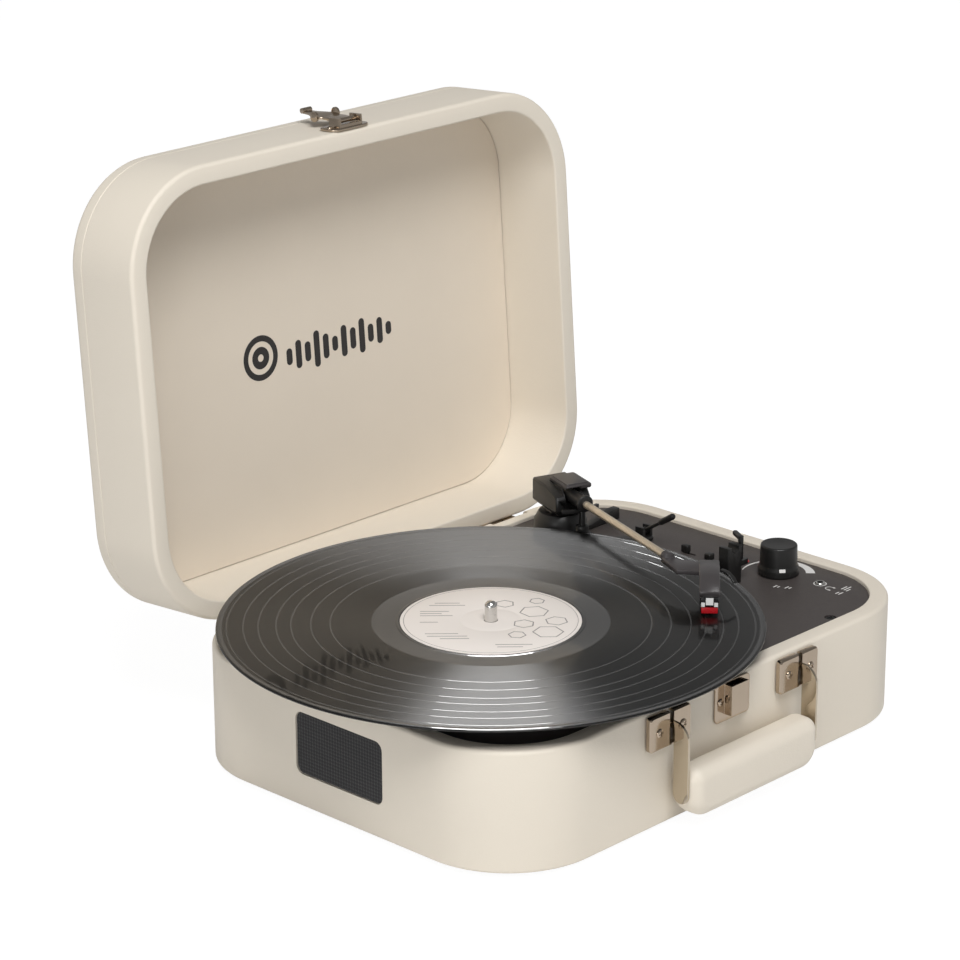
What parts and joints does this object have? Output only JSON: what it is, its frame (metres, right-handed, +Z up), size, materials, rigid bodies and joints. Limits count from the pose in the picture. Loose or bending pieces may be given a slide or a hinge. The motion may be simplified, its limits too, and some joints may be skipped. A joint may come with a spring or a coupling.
{
  "type": "suitcase record player",
  "caption": "Portable record player in a leatherette case with an open lid: belt-driven platter with a record, tonearm with cue lift, speakers, volume knob, handle, catch and latch.",
  "frame": {"origin": "middle of the underside of the whole part's bounding box, with the lid open, at the plane of the feet", "axes": "+Z up, +X to the right seen from the handle side, +Y from the handle towards the lid hinge"},
  "size_m": [0.3818, 0.3602, 0.3339],
  "materials": {
    "leatherette": "smooth matt leatherette over board",
    "lid_lining": "matt lining sheet",
    "panel_board": "dark painted board",
    "deck": "fine matt texture",
    "black_plastic": "satin moulded",
    "gloss_black": "glossy moulded",
    "speaker_cloth": "woven",
    "vinyl": "pressed and grooved",
    "label_paper": "matt paper",
    "nickel": "warm nickel plate",
    "steel": "bright steel",
    "rubber": "matt",
    "champagne": "satin champagne tube",
    "red_plastic": "glossy moulded",
    "board": "circuit board",
    "felt": "felt"
  },
  "bodies": {
    "case": {"base_shell": "leatherette", "bottom_panel": "panel_board", "foot_front_left": "rubber", "foot_front_right": "rubber", "foot_back_right": "rubber", "foot_back_left": "rubber", "speaker_grille_left": "speaker_cloth", "speaker_grille_right": "speaker_cloth", "speaker_driver_left": "black_plastic", "speaker_driver_right": "black_plastic", "deck_plate": "deck", "headphone_jack": "steel", "power_led": "red_plastic", "transit_screw": "black_plastic", "circuit_board": "board", "socket_plate": "black_plastic", "audio_socket_left": "steel", "audio_socket_right": "steel", "power_inlet": "steel", "motor": "steel", "drive_belt": "rubber", "arm_pedestal": "black_plastic", "cue_base": "black_plastic", "arm_rest": "black_plastic", "handle_bracket_left": "nickel", "handle_bracket_right": "nickel", "catch_plate": "nickel", "hinge_base_leaf_left": "nickel", "hinge_base_leaf_right": "nickel"},
    "turntable": {"platter": "black_plastic", "slip_mat": "felt", "vinyl_record": "vinyl", "record_label": "label_paper", "spindle": "steel"},
    "motor_rotor": {"motor_pulley": "black_plastic"},
    "volume": {"volume_knob": "black_plastic"},
    "speed": {"speed_switch": "black_plastic"},
    "auto_stop": {"auto_stop_switch": "black_plastic"},
    "arm_base": {"arm_yoke": "black_plastic", "arm_cap": "black_plastic"},
    "arm": {"arm_carrier": "black_plastic", "arm_tube": "champagne", "headshell": "black_plastic", "finger_lift": "black_plastic", "cartridge": "gloss_black", "stylus": "red_plastic"},
    "cue_handle": {"cue_lever": "black_plastic"},
    "cue_bar": {"cue_lift_bar": "black_plastic"},
    "clip": {"rest_clip": "black_plastic"},
    "handle": {"handle_grip": "leatherette", "handle_strap_left": "nickel", "handle_strap_right": "nickel"},
    "lid": {"lid_shell": "leatherette", "lid_lining": "lid_lining", "hinge_lid_leaf_left": "nickel", "hinge_lid_leaf_right": "nickel", "latch_plate": "nickel"},
    "latch": {"latch_lever": "nickel"}
  },
  "joints": [
    {"name": "lid_hinge", "type": "hinge", "parent": "case", "child": "lid", "pos_m": [0.0169, 0.10478, 0.0669], "axis": [1, 0, 0], "range_deg": [0, 18]},
    {"name": "latch_hinge", "type": "hinge", "parent": "lid", "child": "latch", "pos_m": [0.0139, 0.13484, 0.33054], "axis": [1, 0, 0], "range_deg": [0, 150]},
    {"name": "handle_swing", "type": "hinge", "parent": "case", "child": "handle", "pos_m": [0.0139, -0.15762, 0.0624], "axis": [-1, 0, 0], "range_deg": [0, 90]},
    {"name": "platter_spin", "type": "hinge", "parent": "case", "child": "turntable", "pos_m": [-0.0401, -0.02932, 0.0772], "axis": [0, 0, -1], "continuous": true},
    {"name": "motor_spin", "type": "hinge", "parent": "case", "child": "motor_rotor", "pos_m": [0.02379, -0.07406, 0.0752], "axis": [0, 0, -1], "continuous": true},
    {"name": "arm_swing", "type": "hinge", "parent": "case", "child": "arm_base", "pos_m": [0.1129, 0.05838, 0.1016], "axis": [0, 0, 1], "range_deg": [-21, 28]},
    {"name": "arm_lift", "type": "hinge", "parent": "arm_base", "child": "arm", "pos_m": [0.1129, 0.05838, 0.1016], "axis": [-0.9385, 0.3453, 0], "range_deg": [0, 4]},
    {"name": "cue_lever_hinge", "type": "hinge", "parent": "case", "child": "cue_handle", "pos_m": [0.1439, 0.01918, 0.0762], "axis": [1, 0, 0], "range_deg": [0, 30]},
    {"name": "cue_bar_slide", "type": "slide", "parent": "case", "child": "cue_bar", "axis": [0, 0, -1], "range_m": [0, 0.0024]},
    {"name": "rest_clip_turn", "type": "hinge", "parent": "case", "child": "clip", "pos_m": [0.1333, -0.06362, 0.0912], "axis": [0, 0, 1], "range_deg": [0, 120]},
    {"name": "volume_turn", "type": "hinge", "parent": "case", "child": "volume", "pos_m": [0.1558, -0.07392, 0.0792], "axis": [0, 0, -1], "range_deg": [0, 280]},
    {"name": "speed_select", "type": "slide", "parent": "case", "child": "speed", "axis": [0, -1, 0], "range_m": [0, 0.006]},
    {"name": "auto_stop_slide", "type": "slide", "parent": "case", "child": "auto_stop", "axis": [0, -1, 0], "range_m": [0, 0.004]}
  ],
  "couplings": [
    {"joint": "motor_spin", "follows": "platter_spin", "ratio": 12},
    {"joint": "cue_bar_slide", "follows": "cue_lever_hinge", "m_per_rad": 0.0045}
  ]
}
